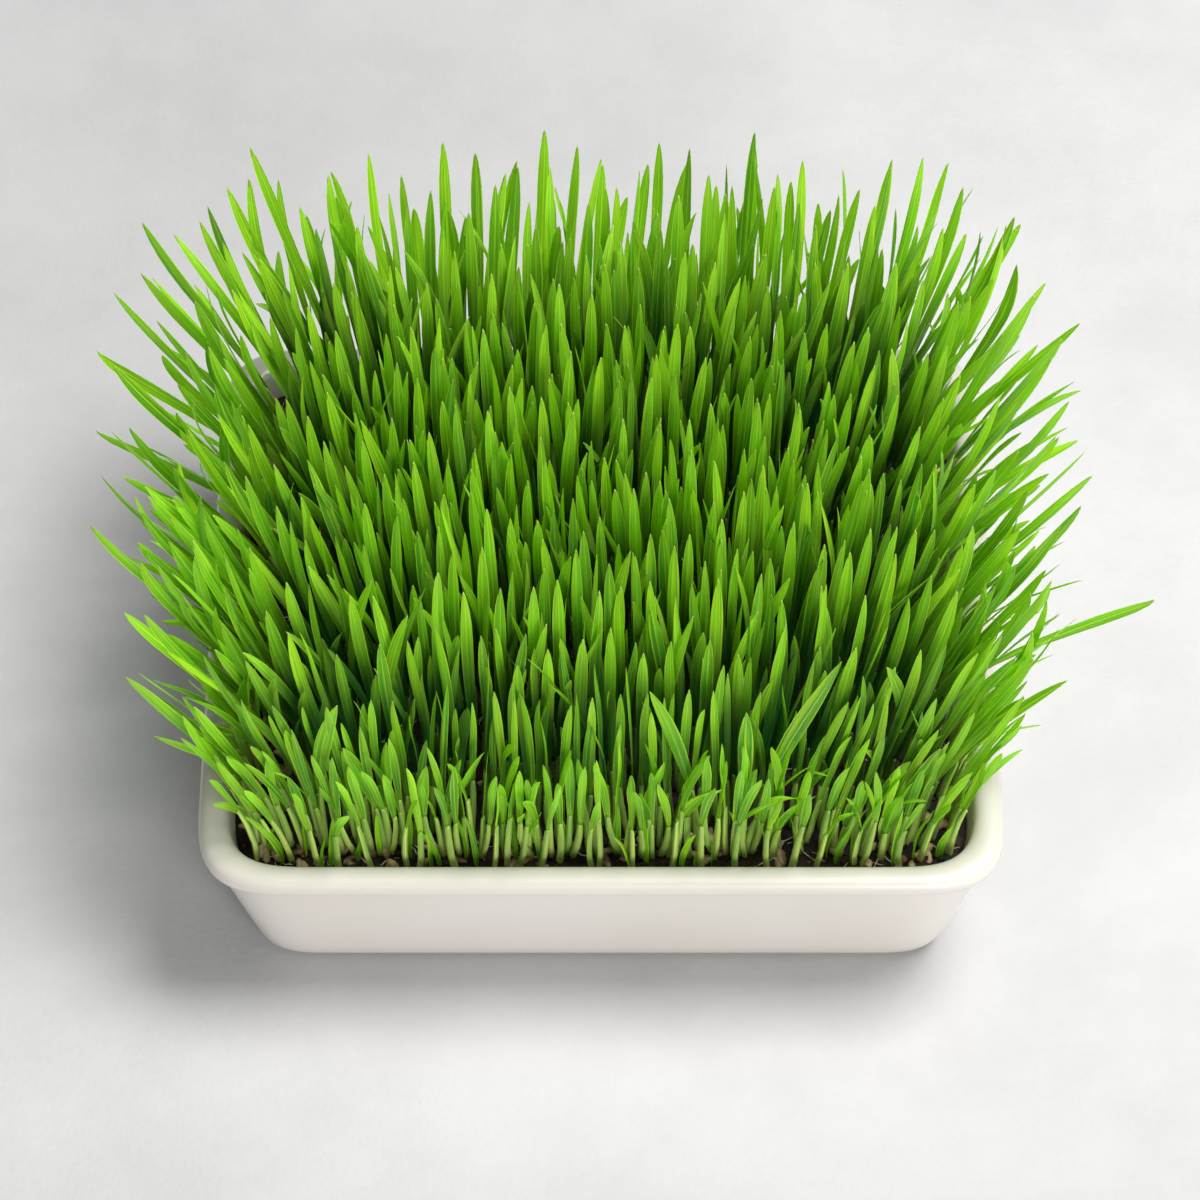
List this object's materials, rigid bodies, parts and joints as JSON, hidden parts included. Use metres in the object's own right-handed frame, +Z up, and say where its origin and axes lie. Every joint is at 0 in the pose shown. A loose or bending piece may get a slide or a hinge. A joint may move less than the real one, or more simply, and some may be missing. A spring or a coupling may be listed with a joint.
{
  "type": "wheatgrass tray",
  "caption": "Dense bed of young wheatgrass fanning up out of a rounded rectangular off-white glazed ceramic dish filled with dark soil.",
  "frame": {"origin": "Centre of the dish's flat underside, on the surface that it stands on.", "axes": "+X runs along the dish's long side, +Y from its front to its back, +Z up through the grass."},
  "size_m": [0.3505, 0.2508, 0.1644],
  "materials": {
    "stoneware_glaze": "off-white glazed stoneware, smooth and softly glossy",
    "compost": "dark moist compost with sprouted tan wheat grains",
    "wheat_leaf": "fresh green wheat blades with fine lengthwise veins, paler sheaths at the foot"
  },
  "bodies": {
    "root": {"dish": "stoneware_glaze", "soil": "compost", "clump_01": "wheat_leaf", "clump_02": "wheat_leaf", "clump_03": "wheat_leaf", "clump_04": "wheat_leaf", "clump_05": "wheat_leaf", "clump_06": "wheat_leaf", "clump_07": "wheat_leaf", "clump_08": "wheat_leaf", "clump_09": "wheat_leaf", "clump_10": "wheat_leaf", "clump_11": "wheat_leaf", "clump_12": "wheat_leaf", "clump_13": "wheat_leaf", "clump_14": "wheat_leaf", "clump_15": "wheat_leaf", "clump_16": "wheat_leaf", "clump_17": "wheat_leaf", "clump_18": "wheat_leaf", "clump_19": "wheat_leaf", "clump_20": "wheat_leaf", "clump_21": "wheat_leaf", "clump_22": "wheat_leaf", "clump_23": "wheat_leaf", "clump_24": "wheat_leaf", "clump_25": "wheat_leaf", "clump_26": "wheat_leaf", "clump_27": "wheat_leaf", "clump_28": "wheat_leaf", "clump_29": "wheat_leaf", "clump_30": "wheat_leaf", "clump_31": "wheat_leaf", "clump_32": "wheat_leaf", "clump_33": "wheat_leaf", "clump_34": "wheat_leaf", "clump_35": "wheat_leaf", "clump_36": "wheat_leaf", "clump_37": "wheat_leaf", "clump_38": "wheat_leaf", "clump_39": "wheat_leaf", "clump_40": "wheat_leaf", "clump_41": "wheat_leaf", "clump_42": "wheat_leaf", "clump_43": "wheat_leaf", "clump_44": "wheat_leaf", "clump_45": "wheat_leaf", "clump_46": "wheat_leaf", "clump_47": "wheat_leaf", "clump_48": "wheat_leaf"}
  },
  "joints": []
}
